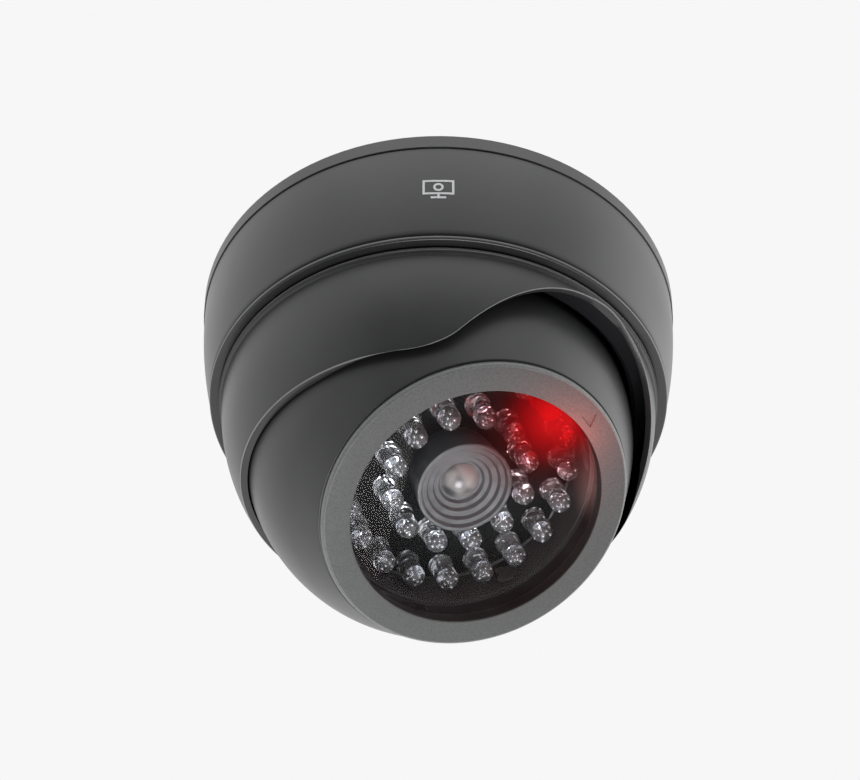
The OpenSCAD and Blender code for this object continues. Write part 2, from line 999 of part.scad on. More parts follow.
// A lead from the holder's side wall to the back of the board
module lead_wire(x) {
    start_y = holder_w / 2;
    end_y = board_at[1] - wire_inset;
    end_h = board_back;
    start_h = end_h - wire_drop;
    translate([x, start_y, start_h])
        rotate([-90, 0, 0])
            cylinder(h = end_y - wire_bend - start_y, r = wire_r, $fn = 24);
    translate([x, end_y - wire_bend, start_h + wire_bend])
        rotate([0, -90, 0])
            rotate([0, 0, 90])
                rotate_extrude(angle = 90, $fn = 48)
                    translate([wire_bend, 0])
                        circle(r = wire_r, $fn = 24);
    translate([x, end_y, start_h + wire_bend])
        cylinder(h = end_h - start_h - wire_bend, r = wire_r, $fn = 24);
}

module wire_red() {
    color("#b3211c")
        in_ball()
            lead_wire(red_wire_x);
}

module wire_black() {
    color("#1b1b1b")
        in_ball()
            lead_wire(black_wire_x);
}

mounting_plate();
base_housing();
base_mark();
dome_cover();
retaining_ring();
ring_screws();
ball_carrier();
pivot_pins();
friction_washers();
ball_shell();
front_bezel();
window();
window_gasket();
lamp_tray();
tray_screws();
inner_lamps();
outer_lamps();
flashing_lamp();
lens_barrel();
lens_glass();
battery_holder();
holder_screws();
battery_1();
battery_2();
contact_springs();
contact_plates();
flasher_board();
flasher_chip();
switch_body();
switch_knob();
wire_red();
wire_black();
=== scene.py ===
"""Looks of the imitation dome camera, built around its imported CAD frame."""

import math
import random

import bmesh
import bpy
from mathutils import Matrix, Vector


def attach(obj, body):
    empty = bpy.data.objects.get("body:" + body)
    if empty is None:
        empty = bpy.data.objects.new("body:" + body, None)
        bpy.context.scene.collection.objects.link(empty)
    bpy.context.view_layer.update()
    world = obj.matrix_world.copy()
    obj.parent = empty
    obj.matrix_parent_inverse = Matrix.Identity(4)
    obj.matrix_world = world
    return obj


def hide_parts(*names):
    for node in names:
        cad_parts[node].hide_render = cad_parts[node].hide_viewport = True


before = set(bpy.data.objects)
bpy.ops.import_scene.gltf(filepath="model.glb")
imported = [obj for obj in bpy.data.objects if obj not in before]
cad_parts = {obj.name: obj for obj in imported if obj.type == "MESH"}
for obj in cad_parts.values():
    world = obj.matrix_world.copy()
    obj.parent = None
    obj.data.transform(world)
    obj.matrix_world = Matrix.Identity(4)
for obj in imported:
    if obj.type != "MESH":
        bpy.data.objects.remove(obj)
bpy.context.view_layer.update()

MM = 0.001
TURN = 2 * math.pi
SIDES = 256

# Driving sizes, in millimetres, repeated from the design
WALL_TOP_R = 59.5
RIM_H = 4.2
SEAM = 0.2
BASE_DEPTH = 31.5
WALL_LOW_R = 55.2
WALL_LOW = 30
WALL_ARC = 110
BASE_WALL = 2.2
BEAD_R = 0.55
GROOVE = 0.45
LEDGE_R = 51.6
LEDGE_T = 2.2
SPIGOT_DEPTH = 10.2
SPIGOT_R = 57.33

COVER_R = 52.2
COVER_IN_R = 50.7
COVER_CENTRE = -29.5
FLANGE_R = 52.9
FLANGE_TOP = -31.7
FLANGE_LOW = -32.2
FLANGE_FILLET = 0.7
COLLAR_OUT_R = 51.52
COLLAR_IN_R = 48.6
COLLAR_TOP = -29
COLLAR_LOW = -32.9
REST_R = 47.3
REST_TOP = -31.8
REST_GAP = 20
LIP = -55.3
NOTCH_R = 35.4
NOTCH_CENTRE = -67.9
NOTCH_FILLET = 7
RELIEF_R = 47.8
RELIEF_TOP = -49.4
RELIEF_ANGLE = 86
RELIEF_BLEND = 26

BALL_R = 45.9
BALL_WALL = 2
BALL_CENTRE = -40
TILT = 24.6
SWIVEL = -6.8
CONE_ANGLE = 60
CONE_FRONT = 31
CUT_FRONT = 98
CUT_BACK = 120
POST_RING_R = 37.8
POST_R = 3.2
POST_TOP = 20

BEZEL_R = 34.7
BEZEL_FRONT = 32.7
BEZEL_BACK = 31.15
BEZEL_ROUND = 0.9
SIGHT_R = 28.5
SIGHT_WALL = 1.5
SKIRT_OUT_R = 32.69
SKIRT_IN_R = 31.6
SKIRT_BACK = 27.5
INDEX_TURN = -15.2
INDEX_R = 31.1
INDEX_SIZE = 2
INDEX_DEPTH = 0.3
PANE_FRONT = 29.6
PANE_BACK = 28.1
PANE_R = 31.4

TRAY_FRONT = 12.2
TRAY_BACK = 8
TRAY_TOP = 27.3
TRAY_R = 31.4
TRAY_UPPER_R = 30.4
TRAY_LOWER_R = 29.4
TRAY_STEP = 22.5

LAMP_R = 2.5
LAMP_TIP = 21.2
LAMP_FLANGE_R = 2.9
INNER_RING_R = 15.9
INNER_COUNT = 12
INNER_FIRST = 16.8
OUTER_RING_R = 25.5
OUTER_COUNT = 19
OUTER_FIRST = -16.5

LENS_R = 11
LENS_TOP = 22.2
LENS_STEP = 0.9
LENS_RINGS = (9.6, 8.1, 6.4, 4.9)
LENS_FLARE = 0.5
LENS_TAPER = 1.2
GLASS_R = 4.3
GLASS_DOME_R = 5.2
GLASS_T = 2.4

BALL_FRAME = (
    Matrix.Translation((0, 0, BALL_CENTRE * MM))
    @ Matrix.Rotation(math.radians(SWIVEL), 4, "Z")
    @ Matrix.Rotation(math.radians(180 - TILT), 4, "X")
)


# ---------------------------------------------------------------- shapes

def arc(centre, radius, start, end, steps):
    """Points on a circle, from one angle to another, in degrees."""
    points = []
    for i in range(steps + 1):
        a = math.radians(start + (end - start) * i / steps)
        points.append((centre[0] + radius * math.cos(a), centre[1] + radius * math.sin(a)))
    return points


def rounded(corners, steps=4):
    """An outline through corners (x, y, radius), each rounded off by its radius."""
    points = []
    for i, (x, y, radius) in enumerate(corners):
        here = Vector((x, y))
        before = Vector(corners[i - 1][:2]) - here
        after = Vector(corners[(i + 1) % len(corners)][:2]) - here
        if radius == 0:
            points.append((x, y))
            continue
        before.normalize()
        after.normalize()
        half = before.angle(after) / 2
        middle = here + (before + after).normalized() * radius / math.sin(half)
        first = here + before * radius / math.tan(half) - middle
        last = here + after * radius / math.tan(half) - middle
        sweep = math.atan2(first.x * last.y - first.y * last.x, first.dot(last))
        begin = math.atan2(first.y, first.x)
        for k in range(steps + 1):
            a = begin + sweep * k / steps
            points.append((middle.x + radius * math.cos(a), middle.y + radius * math.sin(a)))
    return points


def revolved(outline, sides, closed=True):
    """Vertices and faces of an outline of (radius, height) turned round Z."""
    verts, faces, rings = [], [], []
    for r, z in outline:
        if r < 1e-6:
            rings.append([len(verts)] * sides)
            verts.append((0, 0, z))
        else:
            rings.append([len(verts) + k for k in range(sides)])
            verts += [(r * math.cos(TURN * k / sides), r * math.sin(TURN * k / sides), z)
                      for k in range(sides)]
    pairs = list(zip(rings, rings[1:]))
    if closed:
        pairs.append((rings[-1], rings[0]))
    for low, high in pairs:
        for k in range(sides):
            n = (k + 1) % sides
            face = []
            for v in (low[k], low[n], high[n], high[k]):
                if v not in face:
                    face.append(v)
            if len(face) > 2:
                faces.append(face)
    return verts, faces


def placed(shape, matrix):
    """The same vertices and faces, moved by a matrix."""
    verts, faces = shape
    return [tuple(matrix @ Vector(v)) for v in verts], faces


def joined(shapes):
    """Several shapes as one list of vertices and one of faces."""
    verts, faces = [], []
    for v, f in shapes:
        start = len(verts)
        verts += v
        faces += [[i + start for i in face] for face in f]
    return verts, faces


def ring_place(count, radius, first, index):
    """Place number index in a ring of count, the first on +Y."""
    turn = math.radians(first + 360 * index / count)
    return Matrix.Rotation(turn, 4, "Z") @ Matrix.Translation((0, radius, 0))


def make(name, shape, material, body, replaces=(), sharp=35, matrix=Matrix.Identity(4), shades=None):
    """A finished piece from vertices in millimetres; shades gives faces their own materials."""
    mesh = bpy.data.meshes.new(name)
    verts, faces = shape
    mesh.from_pydata([Vector(v) * MM for v in verts], [], faces)
    mesh.transform(matrix)
    mesh.materials.append(material)
    if shades:
        for extra in shades[0]:
            mesh.materials.append(extra)
        mesh.polygons.foreach_set("material_index", shades[1])
    tidy = bmesh.new()
    tidy.from_mesh(mesh)
    bmesh.ops.remove_doubles(tidy, verts=tidy.verts, dist=1e-7)
    bmesh.ops.recalc_face_normals(tidy, faces=tidy.faces)
    tidy.to_mesh(mesh)
    tidy.free()
    mesh.polygons.foreach_set("use_smooth", [True] * len(mesh.polygons))
    mesh.set_sharp_from_angle(angle=math.radians(sharp))
    piece = bpy.data.objects.new(name, mesh)
    bpy.context.scene.collection.objects.link(piece)
    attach(piece, body)
    if replaces:
        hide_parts(*replaces)
    return piece


# ---------------------------------------------------------------- materials

class Nodes:
    """Short names for the nodes of one material."""

    def __init__(self, name):
        self.material = bpy.data.materials.new(name)
        self.material.use_nodes = True
        self.tree = self.material.node_tree
        self.shader = self.tree.nodes["Principled BSDF"]
        self.place = self.add("ShaderNodeTexCoord").outputs["Object"]

    def add(self, kind, **settings):
        node = self.tree.nodes.new(kind)
        for key, value in settings.items():
            setattr(node, key, value)
        return node

    def link(self, source, target):
        self.tree.links.new(source, target)

    def noise(self, per_mm, detail=2, roughness=0.5):
        node = self.add("ShaderNodeTexNoise")
        self.link(self.place, node.inputs["Vector"])
        node.inputs["Scale"].default_value = per_mm / MM
        node.inputs["Detail"].default_value = detail
        node.inputs["Roughness"].default_value = roughness
        return node.outputs["Fac"]

    def cells(self, per_mm, feature="F1"):
        node = self.add("ShaderNodeTexVoronoi", feature=feature)
        self.link(self.place, node.inputs["Vector"])
        node.inputs["Scale"].default_value = per_mm / MM
        return node.outputs["Distance"]

    def distance(self, point):
        node = self.add("ShaderNodeVectorMath", operation="DISTANCE")
        self.link(self.place, node.inputs[0])
        node.inputs[1].default_value = point
        return node.outputs["Value"]

    def mapped(self, source, low, high, to_low=0.0, to_high=1.0):
        node = self.add("ShaderNodeMapRange")
        self.link(source, node.inputs["Value"])
        for key, value in zip(("From Min", "From Max", "To Min", "To Max"), (low, high, to_low, to_high)):
            node.inputs[key].default_value = value
        return node.outputs["Result"]

    def math(self, operation, first, second):
        node = self.add("ShaderNodeMath", operation=operation)
        for socket, value in zip(node.inputs, (first, second)):
            if hasattr(value, "node"):
                self.link(value, socket)
            else:
                socket.default_value = value
        return node.outputs["Value"]

    def blend(self, share, first, second):
        node = self.add("ShaderNodeMix", data_type="RGBA")
        self.link(share, node.inputs["Factor"])
        for key, value in (("A", first), ("B", second)):
            socket = [s for s in node.inputs if s.name == key and s.type == "RGBA"][0]
            if hasattr(value, "node"):
                self.link(value, socket)
            else:
                socket.default_value = (*value, 1)
        return [s for s in node.outputs if s.type == "RGBA"][0]

    def bump(self, height, depth_mm, strength=1.0):
        node = self.add("ShaderNodeBump")
        node.inputs["Strength"].default_value = strength
        node.inputs["Distance"].default_value = depth_mm * MM
        self.link(height, node.inputs["Height"])
        self.link(node.outputs["Normal"], self.shader.inputs["Normal"])

    def set(self, **values):
        for key, value in values.items():
            socket = self.shader.inputs[key.replace("_", " ")]
            if hasattr(value, "node"):
                self.link(value, socket)
            elif hasattr(value, "__len__"):
                socket.default_value = (*value, 1)
            else:
                socket.default_value = value


def satin_plastic(name, colour, roughness, shine=0.5):
    """Smooth moulded plastic with faint mottling and fine bumps."""
    n = Nodes(name)
    mottle = n.noise(0.06, 3)
    fine = n.noise(3.0, 2)
    light = tuple(c * 1.12 for c in colour)
    dark = tuple(c * 0.88 for c in colour)
    n.set(Base_Color=n.blend(n.mapped(mottle, 0.35, 0.65), dark, light),
          Roughness=n.mapped(mottle, 0.3, 0.7, roughness - 0.03, roughness + 0.03),
          Specular_IOR_Level=shine)
    n.bump(fine, 0.004)
    return n.material


def grained_plastic(name, colour, roughness):
    """Spark-eroded plastic: a close grain of small bumps with lighter tips."""
    n = Nodes(name)
    grain = n.math("ADD", n.mapped(n.cells(2.6, "SMOOTH_F1"), 0, 0.6), n.noise(4.0, 3, 0.6))
    light = tuple(c * 1.25 for c in colour)
    dark = tuple(c * 0.8 for c in colour)
    n.set(Base_Color=n.blend(n.mapped(grain, 0.5, 1.4), dark, light),
          Roughness=n.mapped(n.noise(0.3), 0.3, 0.7, roughness - 0.04, roughness + 0.04),
          Specular_IOR_Level=0.5)
    n.bump(grain, 0.03, 0.7)
    return n.material


def wall_plastic(name, colour, roughness, painted_sheen_at):
    """Smooth wall of the tray, with a painted pale pink sheen beside the lit lamp: light painted into its
    colour.
    """
    n = Nodes(name)
    # painted light: the colour turns pale pink within 12 mm of one point on the wall, in place of light
    # falling there
    painted_sheen = n.mapped(n.distance(painted_sheen_at), 4 * MM, 12 * MM, 1.0, 0.0)
    n.set(Base_Color=n.blend(painted_sheen, colour, (0.20, 0.13, 0.12)),
          Roughness=n.mapped(n.noise(0.06, 3), 0.3, 0.7, roughness - 0.03, roughness + 0.03))
    n.bump(n.noise(3.0, 2), 0.004)
    return n.material


def tray_plastic(name):
    """Rough dark plastic with pale specks of dust."""
    n = Nodes(name)
    rough = n.noise(2.2, 4, 0.7)
    specks = n.mapped(n.cells(1.3), 0.06, 0.16, 1.0, 0.0)
    sparse = n.mapped(n.noise(0.8, 1), 0.5, 0.6)
    base = n.blend(n.mapped(rough, 0.35, 0.7), (0.003, 0.0034, 0.0038), (0.010, 0.011, 0.0115))
    n.set(Base_Color=n.blend(n.math("MULTIPLY", specks, sparse), base, (0.16, 0.165, 0.17)),
          Roughness=0.55, Specular_IOR_Level=0.05)
    n.bump(rough, 0.06, 0.6)
    return n.material


def smoky_plastic(name):
    """Cloudy grey plastic of the imitation lens."""
    n = Nodes(name)
    cloud = n.noise(0.5, 3)
    n.set(Base_Color=n.blend(n.mapped(cloud, 0.3, 0.7), (0.055, 0.058, 0.062), (0.085, 0.088, 0.094)),
          Roughness=n.mapped(cloud, 0.3, 0.7, 0.34, 0.44),
          Coat_Weight=0.25, Coat_Roughness=0.15)
    n.bump(n.noise(2.5, 2), 0.006)
    return n.material


def let_lamps_through(n, tint=(1, 1, 1)):
    """Rays from lamps pass straight through this glass, so that what is behind it is lit."""
    clear = n.add("ShaderNodeBsdfTransparent")
    clear.inputs["Color"].default_value = (*tint, 1)
    path = n.add("ShaderNodeLightPath")
    mix = n.add("ShaderNodeMixShader")
    n.link(path.outputs["Is Shadow Ray"], mix.inputs["Fac"])
    n.link(n.shader.outputs["BSDF"], mix.inputs[1])
    n.link(clear.outputs["BSDF"], mix.inputs[2])
    n.link(mix.outputs["Shader"], n.tree.nodes["Material Output"].inputs["Surface"])


def lamp_resin(name):
    """Clear cast resin with fine flow lines."""
    n = Nodes(name)
    flow = n.noise(0.6, 2)
    n.set(Base_Color=(0.86, 0.88, 0.90), Transmission_Weight=0.94, IOR=1.5,
          Roughness=n.mapped(flow, 0.3, 0.7, 0.0, 0.02))
    n.bump(flow, 0.01)
    let_lamps_through(n, (0.85, 0.87, 0.9))
    return n.material


def pane_plastic_painted_glow(name, lamp_at):
    """Clear window, cloudy in patches, with a painted red glow and a painted red tint in the plastic near
    the lit lamp, standing in for the lamp's light.
    """
    n = Nodes(name)
    apart = n.distance(lamp_at)
    near = n.mapped(apart, 3 * MM, 13.5 * MM, 1.0, 0.0)
    wide = n.mapped(apart, 4 * MM, 22 * MM, 1.0, 0.0)
    # painted glow: red emission in the pane, strongest near the lit lamp, standing in for its light in
    # the plastic
    painted_glow = n.math("ADD", n.math("MULTIPLY", n.math("POWER", near, 1.6), 0.26),
                  n.math("MULTIPLY", n.math("POWER", wide, 2.0), 0.06))
    # painted light: the window's colour turns red near the lit lamp, so that what is seen through it
    # looks lit red
    tint = n.mapped(apart, 8 * MM, 22 * MM, 1.0, 0.0)
    n.set(Base_Color=n.blend(tint, (0.985, 0.985, 0.99), (0.55, 0.03, 0.03)),
          Transmission_Weight=1.0, IOR=1.14,
          Roughness=n.mapped(n.noise(0.15, 3), 0.45, 0.75, 0.0, 0.03),
          Emission_Color=(1.0, 0.012, 0.018), Emission_Strength=painted_glow)
    let_lamps_through(n, (0.95, 0.95, 0.95))
    return n.material


def lit_resin(name):
    """Red resin of the lamp that is on, its glow varied in patches."""
    n = Nodes(name)
    n.set(Base_Color=(0.08, 0.002, 0.002), Roughness=0.5, Specular_IOR_Level=0.1,
          Emission_Color=(1.0, 0.014, 0.02),
          Emission_Strength=n.mapped(n.noise(0.4), 0.3, 0.7, 0.12, 0.18))
    return n.material


def lens_glass(name):
    """Glass of the imitation lens: a coat over a dark base mottled with slow pale patches, painted
    reflections.
    """
    n = Nodes(name)
    # painted reflections: slow random pale patches in the base colour
    cloud = n.mapped(n.noise(0.2, 1), 0.42, 0.58)
    n.set(Base_Color=n.blend(cloud, (0.045, 0.047, 0.05), (0.22, 0.205, 0.2)),
          Roughness=n.mapped(n.noise(0.6), 0.3, 0.7, 0.08, 0.16),
          Coat_Weight=1.0, Coat_Roughness=0.3, Coat_IOR=1.7)
    return n.material


def metal(name, colour, roughness, dents=0.004, dents_per_mm=4.0):
    """Plated metal with drawn, uneven polish."""
    n = Nodes(name)
    wear = n.noise(0.8, 3)
    light = tuple(min(1, c * 1.1) for c in colour)
    n.set(Base_Color=n.blend(n.mapped(wear, 0.35, 0.65), colour, light), Metallic=1.0,
          Roughness=n.mapped(wear, 0.3, 0.7, roughness - 0.06, roughness + 0.08))
    n.bump(n.noise(dents_per_mm), dents)
    return n.material


def coloured(name, colour, roughness, scale=1.0, depth=0.01):
    """Small inner pieces: one colour with mottling at the given scale."""
    n = Nodes(name)
    pattern = n.noise(scale, 3)
    light = tuple(min(1, c * 1.25) for c in colour)
    n.set(Base_Color=n.blend(n.mapped(pattern, 0.35, 0.65), colour, light),
          Roughness=n.mapped(pattern, 0.3, 0.7, roughness - 0.05, roughness + 0.05))
    n.bump(pattern, depth)
    return n.material


# centre of the pane's painted red glow, placed from the lit lamp
PAINTED_GLOW_R = 26.2
PAINTED_GLOW_TURN = 9.2
PAINTED_GLOW_DEPTH = 1
# where the tray wall's painted pale sheen is centred, in degrees round from the lit lamp
PAINTED_SHEEN_TURN = -36

lamp_place = ring_place(OUTER_COUNT, OUTER_RING_R, OUTER_FIRST, 0)
painted_glow_turn = ring_place(OUTER_COUNT, PAINTED_GLOW_R, OUTER_FIRST + PAINTED_GLOW_TURN, 0)
painted_glow_place = painted_glow_turn @ Vector((0, 0, PANE_FRONT - PAINTED_GLOW_DEPTH))
painted_sheen_turn = ring_place(OUTER_COUNT, TRAY_UPPER_R, OUTER_FIRST + PAINTED_SHEEN_TURN, 0)
painted_sheen_place = painted_sheen_turn @ Vector((0, 0, TRAY_STEP))

BLACK = satin_plastic("satin_black", (0.036, 0.037, 0.037), 0.40)
GRAINED = grained_plastic("grained_black", (0.082, 0.085, 0.085), 0.5)
# paler grain as a painted highlight on the front ring's outer rounding
GRAINED_PAINTED_HIGHLIGHT = grained_plastic("grained_painted_highlight_black", (0.16, 0.163, 0.163), 0.42)
RIM = satin_plastic("rim_black", (0.052, 0.053, 0.053), 0.42)
# near-black satin as painted shade on the faces inside the cover
INSIDE_PAINTED_SHADE = satin_plastic("painted_shade_black", (0.006, 0.006, 0.008), 0.7, 0.2)
# pale satin as a painted highlight: thin bright lines along the cover's lip, notch and flange edges and
# the front ring's bore
EDGE_PAINTED_HIGHLIGHT = satin_plastic("painted_highlight_edge_black", (0.22, 0.222, 0.222), 0.32)
# paler satin as a painted highlight on the upper half of the base's bead
BEAD_PAINTED_HIGHLIGHT = satin_plastic("painted_highlight_bead_black", (0.10, 0.102, 0.102), 0.3)
WALL = satin_plastic("smooth_black", (0.03, 0.03, 0.031), 0.26)
# tray wall with a painted pale pink sheen near the lit lamp
TRAY_WALL_PAINTED_SHEEN = wall_plastic("tray_wall_painted_sheen", (0.03, 0.03, 0.031), 0.26, BALL_FRAME @ (painted_sheen_place * MM))
INNER = tray_plastic("inner_black")
SMOKY = smoky_plastic("smoky_grey")
RESIN = lamp_resin("clear_resin")
PANE = pane_plastic_painted_glow("window_pane", BALL_FRAME @ (painted_glow_place * MM))
LIT = lit_resin("lit_red_resin")
GLASS_PAINTED_REFLECTIONS = lens_glass("imitation_glass_painted_reflections")
STEEL = metal("plated_steel", (0.62, 0.63, 0.64), 0.3)
SILVER = metal("lead_frame_silver", (0.80, 0.81, 0.85), 0.12, 0.02, 1.5)
PRINT = coloured("white_print", (0.66, 0.67, 0.68), 0.5, 4.0, 0.004)
FOAM = coloured("foam_rubber", (0.016, 0.016, 0.017), 0.85, 3.0, 0.05)
CELL = coloured("cell_wrap", (0.05, 0.16, 0.07), 0.35, 0.2, 0.004)
BOARD = coloured("board_green", (0.025, 0.14, 0.05), 0.4, 1.0, 0.01)
CHIP = coloured("chip_black", (0.012, 0.012, 0.013), 0.55, 3.0, 0.01)
RED_WIRE = coloured("wire_red", (0.45, 0.02, 0.016), 0.45, 1.0, 0.01)
BLACK_WIRE = coloured("wire_black", (0.015, 0.015, 0.015), 0.45, 1.0, 0.01)


# ---------------------------------------------------------------- base

def wall_radius(z, inset=0.0):
    """Radius of the base's drafted wall at a height, on its large arc."""
    top = Vector((WALL_TOP_R, -(RIM_H + SEAM)))
    low = Vector((WALL_LOW_R, -WALL_LOW))
    along = top - low
    reach = math.sqrt(WALL_ARC ** 2 - along.length_squared / 4)
    centre = (top + low) / 2 + Vector((-along.y, along.x)).normalized() * reach
    return centre.x + math.sqrt((WALL_ARC - inset) ** 2 - (z - centre.y) ** 2)


BEAD_STEPS = 18
BEAD_HIGHLIGHT_STEPS = 13
CORNER_STEPS = 4


def base_outline():
    """Half section of the base, from its wall to the annulus, and its bands: 1 is a painted highlight on
    the bead's upper half, 2 the smoother satin under it.
    """
    top = -(RIM_H + SEAM)
    edge = 0.3
    steps = 28
    wall = []
    for i in range(steps + 1):
        z = top - edge + (-WALL_LOW + 0.25 - top + edge) * i / steps
        wall.append((wall_radius(z), z))
    crown = arc((wall_radius(top) - edge, top - edge), edge, 90, 10, CORNER_STEPS)
    groove_r = WALL_LOW_R - GROOVE
    bead = (WALL_LOW_R - BEAD_R, -BASE_DEPTH + BEAD_R)
    groove_low = bead[1] + math.sqrt(BEAD_R ** 2 - (groove_r - bead[0]) ** 2)
    groove = [(WALL_LOW_R - 0.12, -WALL_LOW - 0.02), (groove_r + 0.05, -WALL_LOW - 0.12),
              (groove_r, -WALL_LOW - 0.2), (groove_r, groove_low + 0.06)]
    bead_start = math.degrees(math.acos((groove_r - bead[0]) / BEAD_R))
    bead_arc = arc(bead, BEAD_R, bead_start, -90, BEAD_STEPS)
    inside = rounded([
        (LEDGE_R, -BASE_DEPTH, 0.15),
        (LEDGE_R, -BASE_DEPTH + LEDGE_T, 0),
        (wall_radius(-BASE_DEPTH + LEDGE_T, BASE_WALL), -BASE_DEPTH + LEDGE_T, 0),
    ], steps=CORNER_STEPS)
    inner_wall = []
    for i in range(9):
        z = -BASE_DEPTH + LEDGE_T + (BASE_DEPTH - LEDGE_T - SPIGOT_DEPTH) * i / 8
        inner_wall.append((wall_radius(z, BASE_WALL), z))
    head = [(SPIGOT_R, -SPIGOT_DEPTH), (SPIGOT_R, top)]
    outline = crown + wall + groove + bead_arc + inside[:-1] + inner_wall + head
    start = len(crown + wall + groove)
    shades = []
    for k in range(len(outline)):
        # painted highlight on the bead's upper half
        painted_highlight = start <= k < start + BEAD_HIGHLIGHT_STEPS
        under = start + BEAD_HIGHLIGHT_STEPS <= k < start + BEAD_STEPS + CORNER_STEPS
        shades.append(1 if painted_highlight else 2 if under else 0)
    return outline, shades


base, base_bands = base_outline()
make("base_wall", revolved(base, SIDES), BLACK, "base", ["base_housing"],
     shades=((BEAD_PAINTED_HIGHLIGHT, WALL), [band for band in base_bands for _ in range(SIDES)]))


# ---------------------------------------------------------------- cover

def notch_edge():
    """Half of the notch's edge, from its top, as (x, z) points."""
    tangent = NOTCH_R + NOTCH_FILLET
    drop = LIP + NOTCH_FILLET - NOTCH_CENTRE
    side = math.sqrt(tangent ** 2 - drop ** 2)
    touch = math.degrees(math.atan2(side, drop))
    points = [(x, z) for z, x in arc((NOTCH_CENTRE, 0), NOTCH_R, 0, touch, 64)]
    foot = arc((side, LIP + NOTCH_FILLET), NOTCH_FILLET, 270 - touch, 270, 16)
    return points + foot[1:]


def outer_radius(z):
    """Outer radius of the cover below its flange, with the fillet under the flange."""
    r = math.sqrt(COVER_R ** 2 - (z - COVER_CENTRE) ** 2)
    if z > FLANGE_LOW - FLANGE_FILLET:
        rise = z - (FLANGE_LOW - FLANGE_FILLET)
        r = max(r, FLANGE_R - math.sqrt(max(0, FLANGE_FILLET ** 2 - rise ** 2)))
    return r


def inner_radius(z, angle):
    """Inner radius of the cover, thinned near the lip on the notch's side."""
    r = math.sqrt(COVER_IN_R ** 2 - (z - COVER_CENTRE) ** 2)
    aside = abs(math.degrees(angle))
    if z < RELIEF_TOP and aside < RELIEF_ANGLE:
        share = min(1, (RELIEF_ANGLE - aside) / RELIEF_BLEND)
        thinned = max(r, math.sqrt(RELIEF_R ** 2 - (z - BALL_CENTRE) ** 2))
        r += (thinned - r) * share * share * (3 - 2 * share)
    return r


def cover_columns():
    """The cover's edge all round: (outer angle, inner angle, outer height, inner height)."""
    columns = []
    for x, z in notch_edge():
        low = min(z, COLLAR_LOW - 0.02)
        outer = math.asin(x / outer_radius(z))
        inner = math.asin(x / inner_radius(low, outer))
        columns.append((outer, inner, z, low))
    foot = columns[-1][0]
    count = 150
    lip = []
    for i in range(1, count):
        a = foot + (TURN - 2 * foot) * i / count
        lip.append((a, a, LIP, LIP))
    mirrored = [(-o, -i, z, low) for o, i, z, low in reversed(columns[1:])]
    return columns + lip + mirrored


def on_cover(r, angle, z):
    """A point at an angle from the notch's middle, which faces -Y."""
    return Vector((r * math.sin(angle), -r * math.cos(angle), z))


COVER_ROWS = 44
EDGE_STEPS = 5
EDGE_ROUND = 0.22
TIP_ROWS = 4
TIP_SHARE = 0.6
INNER_ROWS = 14
HIGHLIGHT_ROWS = 4
FLANGE_TOP_STEPS = 3
FLANGE_LOW_STEPS = 4


def cover_column(outer, inner, edge_z, inner_z):
    """One closed section of the cover, from under the flange round to the flange's top."""
    wrapped = (inner + math.pi) % TURN - math.pi
    corner = on_cover(outer_radius(edge_z), outer, edge_z)
    above = on_cover(outer_radius(edge_z + 0.05), outer, edge_z + 0.05)
    inside = on_cover(inner_radius(inner_z, wrapped), inner, inner_z)
    up = (above - corner).normalized()
    across = inside - corner
    small = min(EDGE_ROUND, across.length * 0.45)
    across.normalize()
    last_z = edge_z + up.z * small
    column = []
    for k in range(COVER_ROWS + 1):
        z = FLANGE_LOW + (last_z - FLANGE_LOW) * (k / COVER_ROWS) ** 2
        column.append(on_cover(outer_radius(z), outer, z))
    for k in range(1, EDGE_STEPS + 1):
        a = math.radians(90 * k / EDGE_STEPS)
        column.append(corner + small * (up * (1 - math.sin(a)) + across * (1 - math.cos(a))))
    inner_above = on_cover(inner_radius(inner_z + 0.05, wrapped), inner, inner_z + 0.05)
    rise = (inner_above - inside).normalized()
    tip = small * TIP_SHARE
    for k in range(TIP_ROWS):
        a = math.radians(30 * k)
        column.append(inside + tip * (rise * (1 - math.cos(a)) - across * (1 - math.sin(a))))
    first_z = inner_z + rise.z * tip
    for k in range(1, INNER_ROWS + 1):
        z = first_z + (COLLAR_LOW - first_z) * k / INNER_ROWS
        column.append(on_cover(inner_radius(z, wrapped), inner, z))
    gap = abs((math.degrees(inner) + 90) % 180 - 90)
    rest = REST_R if abs(gap - 90) > REST_GAP else COLLAR_IN_R - 0.05
    for r, z in ((rest, COLLAR_LOW), (rest, REST_TOP), (COLLAR_IN_R, REST_TOP), (COLLAR_IN_R, COLLAR_TOP),
                 (COLLAR_OUT_R, COLLAR_TOP), (COLLAR_OUT_R, FLANGE_TOP)):
        column.append(on_cover(r, inner, z))
    flange = arc((FLANGE_R - 0.15, FLANGE_TOP - 0.15), 0.15, 90, 0, FLANGE_TOP_STEPS)
    flange += arc((FLANGE_R - 0.25, FLANGE_LOW + 0.25), 0.25, 0, -60, FLANGE_LOW_STEPS)
    for r, z in flange:
        column.append(on_cover(r, outer, z))
    return column


